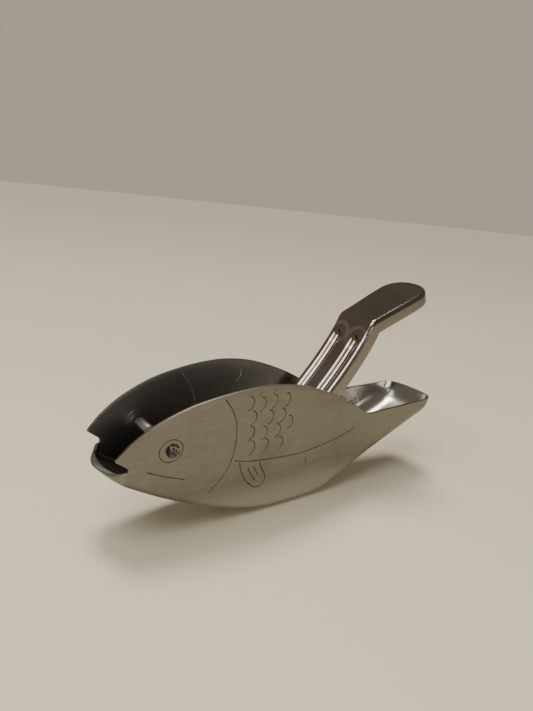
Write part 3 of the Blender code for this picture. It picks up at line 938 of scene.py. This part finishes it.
def polished_steel():
    """Mirror-polished lever: painted shade, highlight and reflections round the grooves' heads, a
    painted dark reflection on the pad, and painted shade on the flanges.
    """
    m = Material("polished_steel")
    smear = m.noise(70, (1, 1, 1), 3.0, 0.6)
    wave = m.noise(40, (1, 0.5, 1), 1.0, 0.4)
    pad = m.axis("X").between(*PAD_PAINTED_REFLECTION)
    base = m.mix(smear, colour(0.37, 0.34, 0.30), colour(0.42, 0.385, 0.345))
    # painted brown reflection round each groove's head
    for head in groove_heads():
        base = m.mix(m.near(head, 0.006, 0.020) * 0.75, base, colour(0.36, 0.265, 0.22))
    for head in groove_heads():
        # painted highlight: a lilac ring round each head
        ring = m.near(head, 0.0047, 0.0062) - m.near(head, 0.0032, 0.0046)
        base = m.mix(ring.clamp() * smear * 1.4, base, colour(0.62, 0.55, 0.64))
        # painted warm reflection beside each head
        warm_reflection_spot = head + Vector(WARM_REFLECTION_SHIFT)
        base = m.mix(m.near(warm_reflection_spot, 0.0004, 0.0030) * 0.7, base, colour(0.52, 0.34, 0.22))
        # painted shade: a dark dot in each groove's head
        base = m.mix(m.near(head, 0.0007, 0.0018), base, colour(0.018, 0.012, 0.010))
    # painted dark reflection: the pad's base is a darker olive
    pad_reflection_colour = m.mix(smear, colour(0.225, 0.20, 0.15), colour(0.245, 0.218, 0.165))
    base = m.mix(pad, base, pad_reflection_colour)
    # painted shade: the flanges are coloured a darker grey than the face
    flange = m.axis("Y").math("ABSOLUTE").between(*FLANGE_SHADE_START)
    base = m.mix(flange * 0.85, base, colour(0.22, 0.21, 0.19))
    off_x, off_z = m.axis("X") - PIVOT.x * MM, m.axis("Z") - PIVOT.z * MM
    knuckle = 1 - (off_x * off_x + off_z * off_z).math("SQRT").between(*KNUCKLE_OUT)
    base = m.mix(knuckle, base, colour(0.48, 0.47, 0.475))
    m.set(Base_Color=base, Roughness=0.15 + smear.between(0.35, 0.75) * 0.03 + knuckle * 0.16,
          Normal=m.bump(wave, 0.00018, 0.25))
    return m.material


def rivet_steel():
    """Peened rivet: grey, pitted and dirty in the dents, with painted shade on each head's front
    side.
    """
    m = Material("rivet_steel")
    dent = m.noise(1300, (1, 1, 1), 3.0, 0.6)
    dirt = m.noise(1500, (1, 1, 1), 2.0, 0.6, (0.2, 0.1, 0)).between(0.42, 0.56)
    base = m.mix(dirt, colour(0.22, 0.215, 0.225), colour(0.025, 0.024, 0.024))
    # painted shade: each head darkens on its front side, before the pivot
    front = (PIVOT.x * MM - m.axis("X")).between(*RIVET_PAINTED_SHADE)
    base = m.mix(front, base, colour(0.03, 0.027, 0.025))
    m.set(Base_Color=base, Roughness=0.30 + dent * 0.2, Normal=m.bump(dent, 0.00022, 0.6))
    return m.material


def bright_steel():
    """Turned sleeves: clean and shiny, with fine rings from the lathe."""
    m = Material("bright_steel")
    ring = m.noise(1400, (0.1, 1, 0.1), 2.0, 0.5)
    film = m.noise(240, (1, 1, 1), 2.0, 0.5)
    base = m.mix(film, colour(0.44, 0.43, 0.435), colour(0.52, 0.51, 0.515))
    m.set(Base_Color=base, Roughness=0.28 + ring * 0.10, Normal=m.bump(ring, 0.00004, 0.3))
    return m.material


def floor_paint():
    """Warm, pale, matt floor with a faint cloud and grit."""
    m = Material("pale_floor", metallic=0.0)
    cloud = m.noise(9, (1, 1, 1), 4.0, 0.55)
    grit = m.noise(420, (1, 1, 1), 2.0, 0.5)
    base = m.mix(cloud, colour(0.66, 0.60, 0.455), colour(0.71, 0.65, 0.50))
    m.set(Base_Color=base, Roughness=0.62, Normal=m.bump(grit, 0.0002, 0.3))
    return m.material


# ---------------------------------------------------------------- studio


CAMERA_PLACE = (-61.9, -162.1, 115.8)   # from the lips' tips, the middle plane and the floor
CAMERA_YAW, CAMERA_PITCH, CAMERA_ROLL = radians(37.83), radians(15.41), radians(-6.0)
CAMERA_LENS, CAMERA_SENSOR = 28.35, 36.0
FLOOR_RADIUS = 9.0        # metres; so wide that its edge lies at the horizon
ROOM_STRENGTH, WALL_STRENGTH = 0.45, 0.75
AIM = (0, 0, 0.02)        # what the area lights point at, in metres


def make_floor():
    deselect()
    bpy.ops.mesh.primitive_circle_add(vertices=96, radius=FLOOR_RADIUS, fill_type="NGON",
                                      location=(0, 0, 0))
    floor = bpy.context.object
    floor.name = "floor"
    floor.data.materials.append(floor_paint())


def aim(obj, direction):
    """Turn a light to shine along a direction, and put it in the scene."""
    obj.rotation_mode = "QUATERNION"
    obj.rotation_quaternion = direction.to_track_quat("-Z", "Y")
    bpy.context.scene.collection.objects.link(obj)


def area_light(name, place, size, watts, tint):
    light = bpy.data.lights.new(name, "AREA")
    light.shape = "RECTANGLE"
    light.size, light.size_y = size
    light.energy = watts
    light.color = tint
    obj = bpy.data.objects.new(name, light)
    obj.location = place
    aim(obj, Vector(AIM) - Vector(place))


def sun_light(name, place, strength, spread, tint):
    light = bpy.data.lights.new(name, "SUN")
    light.energy, light.angle, light.color = strength, spread, tint
    aim(bpy.data.objects.new(name, light), -Vector(place))


def make_lights():
    warm, soft = (1.0, 0.95, 0.87), (1.0, 0.97, 0.92)
    sun_light("key", (0.06, 0.37, 1.25), 2.2, radians(19), warm)
    area_light("side", (-0.55, -0.15, 1.0), (0.75, 0.75), 8.5, soft)
    area_light("front", (-0.45, -0.9, 0.20), (0.9, 0.22), 3.6, soft)


def make_world():
    """A dim room that lights the object, behind a paler wall that only the camera sees."""
    world = bpy.data.worlds.new("studio")
    bpy.context.scene.world = world
    world.use_nodes = True
    nodes, links = world.node_tree.nodes, world.node_tree.links
    room = nodes["Background"]
    room.inputs["Color"].default_value = colour(0.42, 0.38, 0.31)
    room.inputs["Strength"].default_value = ROOM_STRENGTH
    wall = nodes.new("ShaderNodeBackground")
    wall.inputs["Color"].default_value = colour(0.56, 0.50, 0.41)
    wall.inputs["Strength"].default_value = WALL_STRENGTH
    mix = nodes.new("ShaderNodeMixShader")
    links.new(nodes.new("ShaderNodeLightPath").outputs["Is Camera Ray"], mix.inputs[0])
    links.new(room.outputs[0], mix.inputs[1])
    links.new(wall.outputs[0], mix.inputs[2])
    links.new(mix.outputs[0], nodes["World Output"].inputs[0])


def make_camera():
    ahead = Vector((sin(CAMERA_YAW) * cos(CAMERA_PITCH), cos(CAMERA_YAW) * cos(CAMERA_PITCH),
                    -sin(CAMERA_PITCH)))
    level = Vector((cos(CAMERA_YAW), -sin(CAMERA_YAW), 0.0))
    down = ahead.cross(level)
    right = cos(CAMERA_ROLL) * level + sin(CAMERA_ROLL) * down
    up = sin(CAMERA_ROLL) * level - cos(CAMERA_ROLL) * down
    data = bpy.data.cameras.new("camera")
    data.lens = CAMERA_LENS
    data.sensor_width = CAMERA_SENSOR
    data.clip_start, data.clip_end = 0.005, 20.0
    camera = bpy.data.objects.new("camera", data)
    turn = Matrix((right, up, -ahead)).transposed().to_4x4()
    x, y, z = CAMERA_PLACE
    camera.matrix_world = Matrix.Translation(Vector((LIP_X + x, y, z)) * MM) @ turn
    bpy.context.scene.collection.objects.link(camera)
    bpy.context.scene.camera = camera


# ---------------------------------------------------------------- assembly


def dress(piece, body, node):
    """Tie a finished piece to its body and the node that it replaces."""
    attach(piece, body)
    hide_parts(node)


make_camera()
make_floor()
make_lights()
make_world()

bright = bright_steel()
shell = make_body((brushed_steel(), inner_steel()), groove_shade_steel(), worn_steel())
dress(shell, "body", "fish_body")
dress(make_lever(polished_steel()), "lever", "press_lever")
dress(make_rivet(rivet_steel()), "body", "pivot_rivet")
for place_name in ("near", "far"):
    node_name = "spacer_sleeve_" + place_name
    dress(make_sleeve("sleeve_" + place_name, node_name, bright), "body", node_name)
